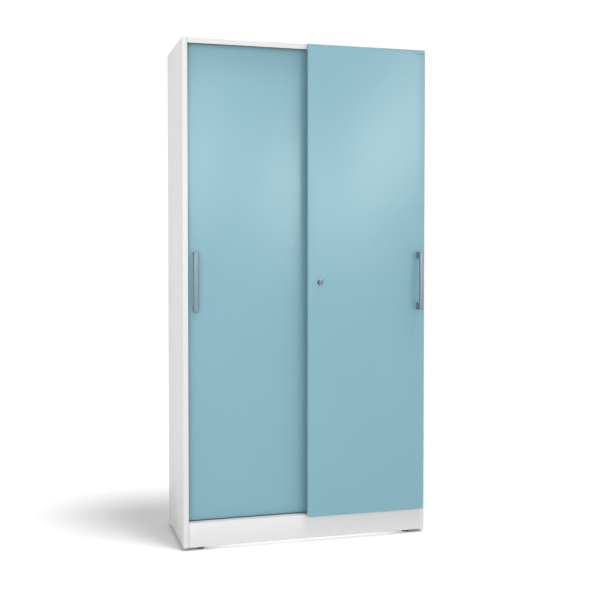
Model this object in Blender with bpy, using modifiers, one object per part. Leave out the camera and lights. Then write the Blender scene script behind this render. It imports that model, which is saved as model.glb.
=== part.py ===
"""Tall two-door sliding-door storage cabinet of folded sheet steel.

The carcass stands on four levelling feet and holds four adjustable shelves on slotted uprights.
Each door runs on two rollers in a grooved bottom track and is kept upright by two guides in the
top track. The front door carries a push lock whose bolt stands behind a keeper on the rear door.

Cabinet coordinates, used by every function here, start at the carcass's front lower left corner:
x runs to the right, y runs to the back and z runs up from the floor.
"""

import math

import bmesh
import bpy
from mathutils import Vector

# Carcass
WIDTH = 1.000
DEPTH = 0.398
HEIGHT = 1.980
FLOOR_GAP = 0.012
SHEET = 0.001
GAP = 0.0003
STILE_WIDTH = 0.0208
STILE_RETURN = 0.012
REAR_FLANGE = 0.015
HEAD_HEIGHT = 0.0211
PLINTH_RETURN = 0.018
LEDGE_TOP = 0.1085
TRACK_DEPTH = 0.069
DECK_SKIRT = 0.020
TOP_UNDERSIDE = HEIGHT - SHEET
BACK_FACE = DEPTH - SHEET - GAP
INSIDE = SHEET + GAP

# Doors: the rear door repeats the front door's hardware one door pitch further back.
DOOR_PITCH = 0.045
DOOR_THICKNESS = 0.018
DOOR_LIP = 0.014
FRONT_FACE = -0.022
REAR_FACE = FRONT_FACE + DOOR_PITCH
FRONT_LEFT, FRONT_RIGHT = 0.494, 0.9887
REAR_LEFT, REAR_RIGHT = 0.0115, 0.5665
FRONT_BOTTOM, FRONT_TOP = 0.1027, 1.9773
REAR_BOTTOM, REAR_TOP = 0.1125, 1.968
FRONT_TRAVEL = 0.470
REAR_TRAVEL = 0.422
HARDWARE_INSET = 0.045

# Rollers and tracks; distances to the back are measured from a door's face
GROOVE_CENTRE = 0.033
GROOVE_WIDTH = 0.010
GROOVE_DEPTH = 0.005
ROLLER_RADIUS = 0.012
ROLLER_WIDTH = 0.007
ROLLER_CHAMFER = 0.0012
AXLE_Z = LEDGE_TOP - GROOVE_DEPTH + GAP + ROLLER_RADIUS
PIN_RADIUS = 0.0026
PIN_HEAD_RADIUS = 0.0042
PIN_LENGTH = 0.0145
PIN_HEAD_LENGTH = 0.0017
CARRIAGE_SHEET = 0.002
CARRIAGE_WIDTH = 0.036
CARRIAGE_TOP, CARRIAGE_JOG = 0.195, 0.148
CARRIAGE_CHEEK = 0.025

# Top guides and the legs of the track that they run between
TRACK_LEG_END = HEIGHT - 0.020
GUIDE_CHANNEL_FRONT, GUIDE_CHANNEL_BACK = 0.022, 0.0415
GUIDE_WIDTH = 0.030
GUIDE_LOW, GUIDE_HIGH = 1.915, 1.953
GUIDE_WALL = 0.003
ARM_FRONT, ARM_BACK = 0.030, 0.034
GUIDE_HEAD_FRONT, GUIDE_HEAD_BACK = 0.0255, 0.039
GUIDE_HEAD_LOW, GUIDE_HEAD_HIGH = 1.9625, 1.9725
STOP_LENGTH = 0.012
BUFFER_RADIUS = 0.006
BUFFER_Z = 1.040

# Handles; the rear one is lower so that the front door passes over it
HANDLE_BOTTOM, HANDLE_TOP = 0.9254, 1.1584
HANDLE_WIDTH = 0.016
FRONT_HANDLE_LEFT = 0.9537
FRONT_HANDLE_REACH = 0.040
FRONT_HANDLE_THICKNESS = 0.010
FRONT_HANDLE_LEG = 0.026
REAR_HANDLE_LEFT = 0.0437
REAR_HANDLE_REACH = 0.020
REAR_HANDLE_THICKNESS = 0.007
REAR_HANDLE_LEG = 0.022

# Lock; distances along its axis are measured back from the front door's face
LOCK_X, LOCK_Z = 0.544, 1.0385
BARREL_RADIUS = 0.0086
BARREL_FRONT, BARREL_SHOULDER = -0.0140, 0.0022
BOLT_RADIUS = 0.0045
BOLT_TIP = 0.0230
BOLT_HOLE_RADIUS = 0.0056
LOCK_HOLE_RADIUS = 0.0092
ROSETTE_RADIUS = 0.0122
HOUSING_RADIUS = 0.0125
HOUSING_WALL = 0.0135
HOUSING_END = 0.0153
PLUG_RADIUS = 0.0055
PLUG_DEPTH = 0.0065
KEYWAY = (0.0016, 0.0055, 0.0076)
SPRING_TURNS = 4
SPRING_RADIUS = 0.0068
SPRING_WIRE_RADIUS = 0.0005
KEEPER_SIZE = (0.016, 0.0177, 0.040)
KEEPER_OFFSET = 0.008

# Shelving
SHELF_COUNT = 4
SHELF_PITCH = 0.375
SHELF_DEPTH = 0.025
SHELF_LIP = 0.012
SLOT_PITCH = 0.075
SLOT_SIZE = (0.006, 0.004, 0.014)
SLOT_DROP = 0.0353
SUPPORT_SHELF = 0.015
SUPPORT_WEB = 0.020
SUPPORT_INSET = 0.004
HOOK_WIDTH = 0.003
HOOK_HEIGHT = 0.010
UPRIGHT_FACE = 0.0153
UPRIGHT_WIDTH = 0.040
FRONT_UPRIGHT_Y = 0.070
REAR_UPRIGHT_Y = 0.3535

# Feet
FOOT_INSET_X = 0.070
FOOT_FRONT_Y = 0.032
FOOT_REAR_Y = 0.366
FOOT_PAD_RADIUS = 0.015
FOOT_COLLAR_RADIUS = 0.0085
STEM_RADIUS = 0.005
STEM_TOP = 0.072
NUT_ACROSS_FLATS = 0.017
NUT_HEIGHT = 0.008
RAIL_SHEET = 0.0015
RAIL_HALF_WIDTH = 0.025
RAIL_WEB, RAIL_TOP = 0.030, 0.0882
RAIL_FRONT, RAIL_REAR = 0.0193, 0.3950

OVERALL_DEPTH = DEPTH - FRONT_FACE + FRONT_HANDLE_REACH
ORIGIN = Vector((-WIDTH / 2, OVERALL_DEPTH / 2 - DEPTH, 0.0))

# Rotations that lay a section drawn in a local XY plane across the named axis
SECTION_TURN = {
    "x": (math.pi / 2, 0.0, math.pi / 2),
    "y": (math.pi / 2, 0.0, 0.0),
    "z": (0.0, 0.0, 0.0),
}
ALONG_Y = (-math.pi / 2, 0.0, 0.0)
FACING_FRONT = (math.pi / 2, 0.0, 0.0)
UPRIGHT = (0.0, 0.0, 0.0)

for old in list(bpy.data.objects):
    bpy.data.objects.remove(old, do_unlink=True)

PARTS = bpy.data.collections.new("sliding_door_cabinet")
CUTTERS = bpy.data.collections.new("cutters")
bpy.context.scene.collection.children.link(PARTS)
bpy.context.scene.collection.children.link(CUTTERS)


# ---------------------------------------------------------------- materials

def material(name, colour, roughness, metallic=0.0):
    made = bpy.data.materials.new(name)
    made.use_nodes = True
    shader = made.node_tree.nodes["Principled BSDF"]
    shader.inputs["Base Color"].default_value = (*colour, 1.0)
    shader.inputs["Roughness"].default_value = roughness
    shader.inputs["Metallic"].default_value = metallic
    made.diffuse_color = (*colour, 1.0)
    return made


CARCASS_PAINT = material("carcass_paint", (0.74, 0.74, 0.73), 0.45)
DOOR_PAINT = material("door_paint", (0.25, 0.47, 0.56), 0.42)
ZINC = material("zinc_steel", (0.56, 0.57, 0.58), 0.35, 1.0)
GREY_METAL = material("handle_metal", (0.50, 0.52, 0.53), 0.35, 1.0)
CHROME = material("lock_chrome", (0.72, 0.70, 0.70), 0.18, 1.0)
NYLON = material("nylon", (0.82, 0.81, 0.78), 0.5)
DARK_NYLON = material("dark_nylon", (0.05, 0.05, 0.055), 0.5)
RUBBER = material("rubber", (0.03, 0.03, 0.03), 0.8)


# ---------------------------------------------------------------- placing

def new_empty(name):
    made = bpy.data.objects.new(name, None)
    PARTS.objects.link(made)
    return made


CABINET = new_empty("cabinet")
CABINET.location = ORIGIN


def spot_of(holder):
    """Where an empty stands, in cabinet coordinates."""
    spot = Vector((0.0, 0.0, 0.0))
    while holder is not CABINET:
        spot += holder.location
        holder = holder.parent
    return spot


def place(made, at, parent=CABINET, turn=UPRIGHT):
    """Put an object at a point in cabinet coordinates, under the cabinet or one of its empties."""
    made.parent = parent
    made.location = Vector(at) - spot_of(parent)
    made.rotation_euler = turn


def axis_empty(name, at, parent=CABINET):
    """An empty on a moving piece's joint axis."""
    made = new_empty(name)
    place(made, at, parent)
    return made


def part(name, data, paint, at, parent=CABINET, turn=UPRIGHT):
    made = bpy.data.objects.new(name, data)
    PARTS.objects.link(made)
    data.materials.append(paint)
    place(made, at, parent, turn)
    return made


def cutter(name, data, at, parent=CABINET, turn=UPRIGHT):
    made = bpy.data.objects.new(name, data)
    CUTTERS.objects.link(made)
    made.hide_render = True
    made.display_type = "WIRE"
    place(made, at, parent, turn)
    return made


def boolean(target, other, operation):
    change = target.modifiers.new(f"{operation.lower()}_{other.name}", "BOOLEAN")
    change.operation = operation
    change.solver = "EXACT"
    change.object = other


# ---------------------------------------------------------------- shapes

def mesh_from(bm, name):
    mesh = bpy.data.meshes.new(name)
    bm.to_mesh(mesh)
    bm.free()
    return mesh


def box_mesh(name, size):
    bm = bmesh.new()
    bmesh.ops.create_cube(bm, size=1.0)
    bmesh.ops.scale(bm, vec=Vector(size), verts=bm.verts)
    return mesh_from(bm, name)


def box(name, low, high, paint, parent=CABINET):
    low, high = Vector(low), Vector(high)
    return part(name, box_mesh(name, high - low), paint, (low + high) / 2, parent)


def box_cutter(name, low, high, parent=CABINET):
    low, high = Vector(low), Vector(high)
    return cutter(name, box_mesh(name, high - low), (low + high) / 2, parent)


def cylinder_mesh(name, radius, length, sides):
    bm = bmesh.new()
    bmesh.ops.create_cone(
        bm, cap_ends=True, segments=sides, radius1=radius, radius2=radius, depth=length)
    return mesh_from(bm, name)


def section_spot(axis, middle):
    """The object's location for a section that is drawn in the other two coordinates."""
    return {"x": (middle, 0, 0), "y": (0, middle, 0), "z": (0, 0, middle)}[axis]


def solidify(target, thickness):
    """Give a surface its thickness, behind the faces."""
    change = target.modifiers.new("sheet", "SOLIDIFY")
    change.thickness = thickness
    change.offset = -1.0
    change.use_even_offset = True


def folded(name, path, axis, start, end, paint, parent=CABINET, thickness=SHEET):
    """A sheet folded along a path and run along an axis, with the metal on the path's left."""
    bm = bmesh.new()
    half = (end - start) / 2
    corners = [bm.verts.new((u, v, -half)) for u, v in path]
    folds = [bm.edges.new(pair) for pair in zip(corners, corners[1:])]
    grown = bmesh.ops.extrude_edge_only(bm, edges=folds)["geom"]
    moved = [item for item in grown if isinstance(item, bmesh.types.BMVert)]
    bmesh.ops.translate(bm, vec=(0, 0, 2 * half), verts=moved)
    first = Vector(path[1]) - Vector(path[0])
    right = Vector((first.y, -first.x, 0.0))
    bmesh.ops.recalc_face_normals(bm, faces=bm.faces)
    bm.normal_update()
    start_face = next(face for face in bm.faces if corners[0] in face.verts)
    if start_face.normal.dot(right) < 0:
        bmesh.ops.reverse_faces(bm, faces=bm.faces)
    spot = section_spot(axis, start + half)
    made = part(name, mesh_from(bm, name), paint, spot, parent, SECTION_TURN[axis])
    solidify(made, thickness)
    return made


def outline(name, points, start, end, paint, parent=CABINET):
    """A flat outline in y and z, filled and run along x."""
    curve = bpy.data.curves.new(name, "CURVE")
    curve.dimensions = "2D"
    curve.fill_mode = "BOTH"
    curve.extrude = (end - start) / 2
    spline = curve.splines.new("POLY")
    spline.points.add(len(points) - 1)
    for point, (u, v) in zip(spline.points, points):
        point.co = (u, v, 0.0, 1.0)
    spline.use_cyclic_u = True
    return part(name, curve, paint, ((start + end) / 2, 0, 0), parent, SECTION_TURN["x"])


def fillet(corners, radii, steps=3):
    """The corners of a closed outline, each rounded by its own radius (0 keeps it sharp)."""
    points = []
    count = len(corners)
    for index, radius in enumerate(radii):
        corner = Vector(corners[index])
        if radius == 0:
            points.append(tuple(corner))
            continue
        before = (Vector(corners[index - 1]) - corner).normalized()
        after = (Vector(corners[(index + 1) % count]) - corner).normalized()
        half_angle = before.angle(after) / 2
        centre = corner + (before + after).normalized() * (radius / math.sin(half_angle))
        start = corner + before * (radius / math.tan(half_angle)) - centre
        end = corner + after * (radius / math.tan(half_angle)) - centre
        sweep = start.angle_signed(end)
        for step in range(steps + 1):
            angle = -sweep * step / steps
            turned_spoke = Vector((
                start.x * math.cos(angle) - start.y * math.sin(angle),
                start.x * math.sin(angle) + start.y * math.cos(angle),
            ))
            points.append(tuple(centre + turned_spoke))
    return points


def profile_mesh(name, profile, closed=False):
    """A profile of (radius, height) points, listed down its outer side; a closed one is a ring's."""
    mesh = bpy.data.meshes.new(name)
    links = list(zip(range(len(profile)), range(1, len(profile))))
    if closed:
        links.append((len(profile) - 1, 0))
    mesh.from_pydata([(radius, 0.0, height) for radius, height in profile], links, [])
    return mesh


def turn_profile(target, sides):
    change = target.modifiers.new("turn", "SCREW")
    change.steps = sides
    change.render_steps = sides
    change.use_merge_vertices = True
    change.merge_threshold = 0.00001


def turned_part(name, profile, paint, at, parent=CABINET, turn=UPRIGHT, closed=False, sides=24):
    made = part(name, profile_mesh(name, profile, closed), paint, at, parent, turn)
    turn_profile(made, sides)
    return made


def pan(name, width, height, depth, lip, paint, at, turn, parent=CABINET):
    """A sheet folded back along its four edges, with an optional lip turned inwards."""
    bm = bmesh.new()
    bmesh.ops.create_grid(bm, x_segments=1, y_segments=1, size=0.5)
    bmesh.ops.scale(bm, vec=(width, height, 1.0), verts=bm.verts)
    rims = [(0.0, -depth)]
    if lip > 0:
        rims.append((lip, 0.0))
    for inwards, down in rims:
        edges = [edge for edge in bm.edges if edge.is_boundary]
        grown = bmesh.ops.extrude_edge_only(bm, edges=edges)["geom"]
        for vert in [item for item in grown if isinstance(item, bmesh.types.BMVert)]:
            vert.co.x -= math.copysign(inwards, vert.co.x)
            vert.co.y -= math.copysign(inwards, vert.co.y)
            vert.co.z += down
    bmesh.ops.recalc_face_normals(bm, faces=bm.faces)
    bm.normal_update()
    face = max(bm.faces, key=lambda candidate: candidate.calc_center_median().z)
    if face.normal.z < 0:
        bmesh.ops.reverse_faces(bm, faces=bm.faces)
    made = part(name, mesh_from(bm, name), paint, at, parent, turn)
    solidify(made, SHEET)
    return made


# ---------------------------------------------------------------- carcass

def build_stile_clearance(side, mirror):
    """The space that a side panel's folded front stile needs inside the other sheets."""
    inner, past = STILE_WIDTH + GAP, 0.01
    span = (WIDTH - inner, WIDTH + past) if mirror else (-past, inner)
    low = (span[0], -past, 0.0)
    high = (span[1], STILE_RETURN + GAP, TOP_UNDERSIDE - GAP / 2)
    return box_cutter(f"{side}_stile_clearance", low, high)


def mirrored(path):
    """A plan-view path flipped to the right-hand side, walked the other way round."""
    return [(WIDTH - u, v) for u, v in reversed(path)]


def build_sides():
    left_plan = [
        (REAR_FLANGE, DEPTH), (0.0, DEPTH), (0.0, 0.0), (STILE_WIDTH, 0.0), (STILE_WIDTH, STILE_RETURN),
    ]
    top = TOP_UNDERSIDE - GAP
    folded("left_side_panel", left_plan, "z", FLOOR_GAP, top, CARCASS_PAINT)
    folded("right_side_panel", mirrored(left_plan), "z", FLOOR_GAP, top, CARCASS_PAINT)


def ledge_path():
    """The ledge from back to front, dipping into a roller groove for each door."""
    floor = LEDGE_TOP - GROOVE_DEPTH
    path = [(TRACK_DEPTH, LEDGE_TOP)]
    for face in (REAR_FACE, FRONT_FACE):
        back = face + GROOVE_CENTRE + GROOVE_WIDTH / 2
        front = back - GROOVE_WIDTH
        path += [(back, LEDGE_TOP), (back, floor), (front, floor), (front, LEDGE_TOP)]
    path.append((0.0, LEDGE_TOP))
    return path


def build_front_sheets():
    """The top, the plinth and the ledge, all cut back around the stiles."""
    top_section = [(DEPTH, HEIGHT), (0.0, HEIGHT), (0.0, HEIGHT - HEAD_HEIGHT)]
    top = folded("top_panel", top_section, "x", 0.0, WIDTH, CARCASS_PAINT)
    plinth_section = [(0.0, LEDGE_TOP - SHEET - GAP), (0.0, FLOOR_GAP), (PLINTH_RETURN, FLOOR_GAP)]
    plinth_end = STILE_WIDTH / 2
    plinth = folded(
        "plinth_front", plinth_section, "x", plinth_end, WIDTH - plinth_end, CARCASS_PAINT)
    track = folded("bottom_track", ledge_path(), "x", INSIDE, WIDTH - INSIDE, CARCASS_PAINT)
    stiles = [build_stile_clearance("left", False), build_stile_clearance("right", True)]
    for sheet in (top, plinth, track):
        for stile in stiles:
            boolean(sheet, stile, "DIFFERENCE")


def build_back_and_deck():
    low = (INSIDE, BACK_FACE - SHEET, FLOOR_GAP)
    high = (WIDTH - INSIDE, BACK_FACE, TOP_UNDERSIDE - GAP)
    box("back_panel", low, high, CARCASS_PAINT)
    front, back = TRACK_DEPTH + GAP, BACK_FACE - SHEET - GAP
    middle = (WIDTH / 2, (front + back) / 2, LEDGE_TOP)
    pan("base_panel", WIDTH - 2 * INSIDE, back - front, DECK_SKIRT, 0.0, CARCASS_PAINT, middle, UPRIGHT)


def build_top_track():
    """The extruded profile under the top.

    The front door's guides run between the head and the first leg, the rear door's between the
    other two.
    """
    web_top = TOP_UNDERSIDE - GAP
    web = web_top - SHEET
    web_front = STILE_RETURN + 2 * GAP
    legs = [
        REAR_FACE + GUIDE_CHANNEL_BACK - DOOR_PITCH,
        REAR_FACE + GUIDE_CHANNEL_FRONT,
        REAR_FACE + GUIDE_CHANNEL_BACK + SHEET,
    ]
    points = [(web_front, web_top), (web_front, web)]
    for start in legs:
        leg_back = start + SHEET
        points += [(start, web), (start, TRACK_LEG_END), (leg_back, TRACK_LEG_END), (leg_back, web)]
    points[-1] = (points[-1][0], web_top)
    outline("top_track", points, INSIDE, WIDTH - INSIDE, ZINC)


def nut_mesh(name, across_flats, height):
    return cylinder_mesh(name, across_flats / math.sqrt(3), height, 6)


def build_base_rail(side, centre):
    """A channel under the deck with a welded nut for each levelling foot."""
    near, far = centre - RAIL_HALF_WIDTH, centre + RAIL_HALF_WIDTH
    section = [(near, RAIL_TOP), (near, RAIL_WEB), (far, RAIL_WEB), (far, RAIL_TOP)]
    name = f"{side}_base_rail"
    rail = folded(name, section, "y", RAIL_FRONT, RAIL_REAR, CARCASS_PAINT, thickness=RAIL_SHEET)
    for end, along in (("front", FOOT_FRONT_Y), ("rear", FOOT_REAR_Y)):
        sunk = RAIL_SHEET / 3
        spot = (centre, along, RAIL_WEB + RAIL_SHEET - sunk + NUT_HEIGHT / 2)
        nut = cutter(f"{side}_{end}_weld_nut", nut_mesh("weld_nut", NUT_ACROSS_FLATS, NUT_HEIGHT), spot)
        boolean(rail, nut, "UNION")
        bore_length = 5 * NUT_HEIGHT
        bore = cylinder_mesh("foot_bore", STEM_RADIUS + 0.0004, bore_length, 16)
        boolean(rail, cutter(f"{side}_{end}_foot_bore", bore, spot), "DIFFERENCE")


def build_foot(side, end, centre, along):
    collar_low, collar_high = 0.0075, 0.011
    profile = [
        (0.0, STEM_TOP), (STEM_RADIUS - 0.001, STEM_TOP), (STEM_RADIUS, STEM_TOP - 0.001),
        (STEM_RADIUS, collar_high), (FOOT_COLLAR_RADIUS, collar_high), (FOOT_COLLAR_RADIUS, collar_low),
        (FOOT_PAD_RADIUS - 0.002, 0.0065), (FOOT_PAD_RADIUS, 0.0045), (FOOT_PAD_RADIUS, 0.0), (0.0, 0.0),
    ]
    turned_part(f"{end}_{side}_foot", profile, DARK_NYLON, (centre, along, 0.0), sides=16)


def build_base():
    for side, centre in (("left", FOOT_INSET_X), ("right", WIDTH - FOOT_INSET_X)):
        build_base_rail(side, centre)
        for end, along in (("front", FOOT_FRONT_Y), ("rear", FOOT_REAR_Y)):
            build_foot(side, end, centre, along)


# ---------------------------------------------------------------- shelving

def slot_cutter(name, across, along):
    """One column of slots, cut through an upright's face in a single cutter."""
    bm = bmesh.new()
    first = LEDGE_TOP + SLOT_PITCH - SLOT_DROP
    highest = TOP_UNDERSIDE - 0.050
    for index in range(int((highest - first) / SLOT_PITCH) + 1):
        slot = bmesh.ops.create_cube(bm, size=1.0)["verts"]
        bmesh.ops.scale(bm, vec=SLOT_SIZE, verts=slot)
        bmesh.ops.translate(bm, vec=(0.0, 0.0, first + index * SLOT_PITCH), verts=slot)
    return cutter(name, mesh_from(bm, name), (across, along, 0.0))


def build_upright(side, end, along, mirror):
    back = along + UPRIGHT_WIDTH
    section = [(INSIDE, along), (UPRIGHT_FACE, along), (UPRIGHT_FACE, back), (INSIDE, back)]
    face = UPRIGHT_FACE - SHEET / 2
    if mirror:
        section = mirrored(section)
        face = WIDTH - face
    top = TOP_UNDERSIDE - 2 * GAP
    made = folded(f"{end}_{side}_upright", section, "z", LEDGE_TOP + GAP, top, CARCASS_PAINT)
    slots = slot_cutter(f"{end}_{side}_slots", face, along + UPRIGHT_WIDTH / 2)
    boolean(made, slots, "DIFFERENCE")


def build_shelf_support(name, top, mirror):
    """An angle that hooks into the front and rear uprights and carries one side of a shelf."""
    web = UPRIGHT_FACE + GAP
    section = [(web + SUPPORT_SHELF, top), (web, top), (web, top - SUPPORT_WEB)]
    hook_x = (UPRIGHT_FACE - 0.0035, web + SHEET / 2)
    if mirror:
        section = mirrored(section)
        hook_x = (WIDTH - hook_x[1], WIDTH - hook_x[0])
    front, back = FRONT_UPRIGHT_Y + SUPPORT_INSET, REAR_UPRIGHT_Y + UPRIGHT_WIDTH - SUPPORT_INSET
    made = folded(name, section, "y", front, back, ZINC)
    hook_top = top - (SUPPORT_WEB - HOOK_HEIGHT) / 2
    for end, upright in (("front", FRONT_UPRIGHT_Y), ("rear", REAR_UPRIGHT_Y)):
        hook_front = upright + (UPRIGHT_WIDTH - HOOK_WIDTH) / 2
        low = (hook_x[0], hook_front, hook_top - HOOK_HEIGHT)
        high = (hook_x[1], hook_front + HOOK_WIDTH, hook_top)
        boolean(made, box_cutter(f"{name}_{end}_hook", low, high), "UNION")


def build_shelves():
    for end, along in (("front", FRONT_UPRIGHT_Y), ("rear", REAR_UPRIGHT_Y)):
        build_upright("left", end, along, False)
        build_upright("right", end, along, True)
    side = UPRIGHT_FACE + SHEET + 2 * GAP
    front, back = FRONT_UPRIGHT_Y + 0.0005, BACK_FACE - SHEET - 2 * GAP
    size = (WIDTH - 2 * side, back - front)
    for index in range(SHELF_COUNT):
        top = LEDGE_TOP + (index + 1) * SHELF_PITCH
        name = f"shelf_{index + 1}"
        middle = (WIDTH / 2, (front + back) / 2, top)
        pan(name, *size, SHELF_DEPTH, SHELF_LIP, CARCASS_PAINT, middle, UPRIGHT)
        build_shelf_support(f"{name}_left_support", top - SHELF_DEPTH - GAP, False)
        build_shelf_support(f"{name}_right_support", top - SHELF_DEPTH - GAP, True)


# ---------------------------------------------------------------- doors

def build_roller_carriage(name, centre, face, slide):
    """A bracket with a riveted axle pin that holds a roller under the door's inner edge."""
    inner = face + DOOR_THICKNESS + GAP
    cheek = face + CARRIAGE_CHEEK
    path = [
        (inner, CARRIAGE_TOP), (inner, CARRIAGE_JOG), (cheek, CARRIAGE_JOG), (cheek, LEDGE_TOP + 0.002),
    ]
    start, end = centre - CARRIAGE_WIDTH / 2, centre + CARRIAGE_WIDTH / 2
    made = folded(name, path, "x", start, end, ZINC, slide, CARRIAGE_SHEET)
    head_start, sunk = PIN_LENGTH - PIN_HEAD_LENGTH, CARRIAGE_SHEET / 4
    profile = [
        (0.0, PIN_LENGTH), (PIN_HEAD_RADIUS, PIN_LENGTH), (PIN_HEAD_RADIUS, head_start),
        (PIN_RADIUS, head_start), (PIN_RADIUS, sunk), (0.0, sunk),
    ]
    pin_name = f"{name}_pin"
    pin = cutter(pin_name, profile_mesh(pin_name, profile), (centre, cheek, AXLE_Z), slide, ALONG_Y)
    turn_profile(pin, 16)
    boolean(made, pin, "UNION")


def build_roller(name, at, slide):
    half = ROLLER_WIDTH / 2
    bore = PIN_RADIUS + 0.0004
    crown = ROLLER_RADIUS - ROLLER_CHAMFER
    profile = [
        (crown, half), (ROLLER_RADIUS, half - ROLLER_CHAMFER), (ROLLER_RADIUS, ROLLER_CHAMFER - half),
        (crown, -half), (bore, -half), (bore, half),
    ]
    turned_part(name, profile, NYLON, at, slide, ALONG_Y, closed=True)


def build_top_guide(name, centre, face, slide):
    """A moulded arm on the door's inner side whose head runs between two legs of the top track."""
    back = face + DOOR_THICKNESS + GAP
    wall, step = back + GUIDE_WALL, GUIDE_HIGH - GUIDE_WALL
    arm_front, arm_back = face + ARM_FRONT, face + ARM_BACK
    head_front, head_back = face + GUIDE_HEAD_FRONT, face + GUIDE_HEAD_BACK
    points = [
        (back, GUIDE_LOW), (wall, GUIDE_LOW), (wall, step), (arm_back, step),
        (arm_back, GUIDE_HEAD_LOW), (head_back, GUIDE_HEAD_LOW), (head_back, GUIDE_HEAD_HIGH),
        (head_front, GUIDE_HEAD_HIGH), (head_front, GUIDE_HEAD_LOW), (arm_front, GUIDE_HEAD_LOW),
        (arm_front, GUIDE_HIGH), (back, GUIDE_HIGH),
    ]
    outline(name, points, centre - GUIDE_WIDTH / 2, centre + GUIDE_WIDTH / 2, DARK_NYLON, slide)


def build_handle(name, left, face, reach, thick, leg, slide):
    """A stirrup handle: a flat grip on two legs, with rounded corners."""
    foot = face - GAP
    front = face - reach
    inner_round = min(0.004, (reach - thick) / 3)
    corners = [
        (foot, HANDLE_BOTTOM), (foot, HANDLE_BOTTOM + leg), (front + thick, HANDLE_BOTTOM + leg),
        (front + thick, HANDLE_TOP - leg), (foot, HANDLE_TOP - leg), (foot, HANDLE_TOP),
        (front, HANDLE_TOP), (front, HANDLE_BOTTOM),
    ]
    outer_round = thick * 0.6
    radii = [0, 0, inner_round, inner_round, 0, 0, outer_round, outer_round]
    outline(name, fillet(corners, radii), left, left + HANDLE_WIDTH, GREY_METAL, slide)


def build_stiffener(name, centre, front, back, low, high, slide):
    """A hat section between a door's skin and its backing."""
    half, flange = 0.030, 0.015
    hat = [
        (centre + half + flange, back), (centre + half, back), (centre + half, front),
        (centre - half, front), (centre - half, back), (centre - half - flange, back),
    ]
    folded(name, hat, "z", low, high, ZINC, slide)


def build_door(prefix, left, right, bottom, top, face, slide):
    """A door pan, the sheet that closes it, its stiffener, carriages, rollers and guides."""
    middle = ((left + right) / 2, face, (bottom + top) / 2)
    size = (right - left, top - bottom)
    turn = FACING_FRONT
    skin = pan(f"{prefix}_skin", *size, DOOR_THICKNESS, DOOR_LIP, DOOR_PAINT, middle, turn, slide)
    inset = SHEET + 2 * GAP
    back = face + DOOR_THICKNESS - SHEET - GAP
    low, high = (left + inset, back - SHEET, bottom + inset), (right - inset, back, top - inset)
    backing = box(f"{prefix}_backing", low, high, DOOR_PAINT, slide)
    hat_front, hat_back = face + 2 * SHEET + GAP, back - SHEET - GAP
    end_gap = 0.004
    build_stiffener(
        f"{prefix}_stiffener", middle[0], hat_front, hat_back, bottom + end_gap, top - end_gap, slide)
    for side, centre in (("left", left + HARDWARE_INSET), ("right", right - HARDWARE_INSET)):
        build_roller_carriage(f"{prefix}_{side}_carriage", centre, face, slide)
        build_roller(f"{prefix}_{side}_roller", (centre, face + GROOVE_CENTRE, AXLE_Z), slide)
        build_top_guide(f"{prefix}_{side}_guide", centre, face, slide)
    return skin, backing


# ---------------------------------------------------------------- lock

def cut_lock_hole(name, sheet, radius, back, slide):
    """A round hole through a sheet of the front door, on the lock's axis."""
    at = (LOCK_X, FRONT_FACE + back, LOCK_Z)
    hole = cutter(name, cylinder_mesh(name, radius, 0.006, 24), at, slide, ALONG_Y)
    boolean(sheet, hole, "DIFFERENCE")


def build_lock(skin, backing, slide):
    """A push lock: the barrel and its bolt slide in a housing behind the door skin."""
    cut_lock_hole("lock_skin_hole", skin, LOCK_HOLE_RADIUS, 0.0, slide)
    cut_lock_hole("lock_bolt_hole", backing, BOLT_HOLE_RADIUS, DOOR_THICKNESS, slide)
    at = (LOCK_X, FRONT_FACE, LOCK_Z)
    rim, thin, thick = ROSETTE_RADIUS - 0.0017, -0.0012, -0.0020
    rosette = [
        (ROSETTE_RADIUS, -GAP), (ROSETTE_RADIUS, thin), (rim, thick),
        (LOCK_HOLE_RADIUS, thick), (LOCK_HOLE_RADIUS, -GAP),
    ]
    turned_part("lock_rosette", rosette, CHROME, at, slide, ALONG_Y, closed=True)
    bolt_bore = BOLT_RADIUS + 0.0005
    housing = [
        (HOUSING_RADIUS, HOUSING_END), (HOUSING_RADIUS, SHEET + GAP), (LOCK_HOLE_RADIUS, SHEET + GAP),
        (LOCK_HOLE_RADIUS, HOUSING_WALL), (bolt_bore, HOUSING_WALL), (bolt_bore, HOUSING_END),
    ]
    turned_part("lock_housing", housing, ZINC, at, slide, ALONG_Y, closed=True)
    push = axis_empty("lock_push", at, slide)
    build_barrel(at, push)
    build_plug(at, push)
    build_lock_spring(slide)


def build_barrel(at, push):
    """The cylinder that is pushed in, with its bolt behind and a recess for the key plug in front."""
    tip_edge, face_edge = 0.0008, 0.0006
    recess_radius, recess_floor = PLUG_RADIUS + GAP, BARREL_FRONT + PLUG_DEPTH
    barrel = [
        (0.0, BOLT_TIP), (BOLT_RADIUS - tip_edge, BOLT_TIP), (BOLT_RADIUS, BOLT_TIP - tip_edge),
        (BOLT_RADIUS, BARREL_SHOULDER), (BARREL_RADIUS, BARREL_SHOULDER),
        (BARREL_RADIUS, BARREL_FRONT + face_edge), (BARREL_RADIUS - face_edge, BARREL_FRONT),
        (recess_radius, BARREL_FRONT), (recess_radius, recess_floor), (0.0, recess_floor),
    ]
    turned_part("lock_barrel", barrel, CHROME, at, push, ALONG_Y)


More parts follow.
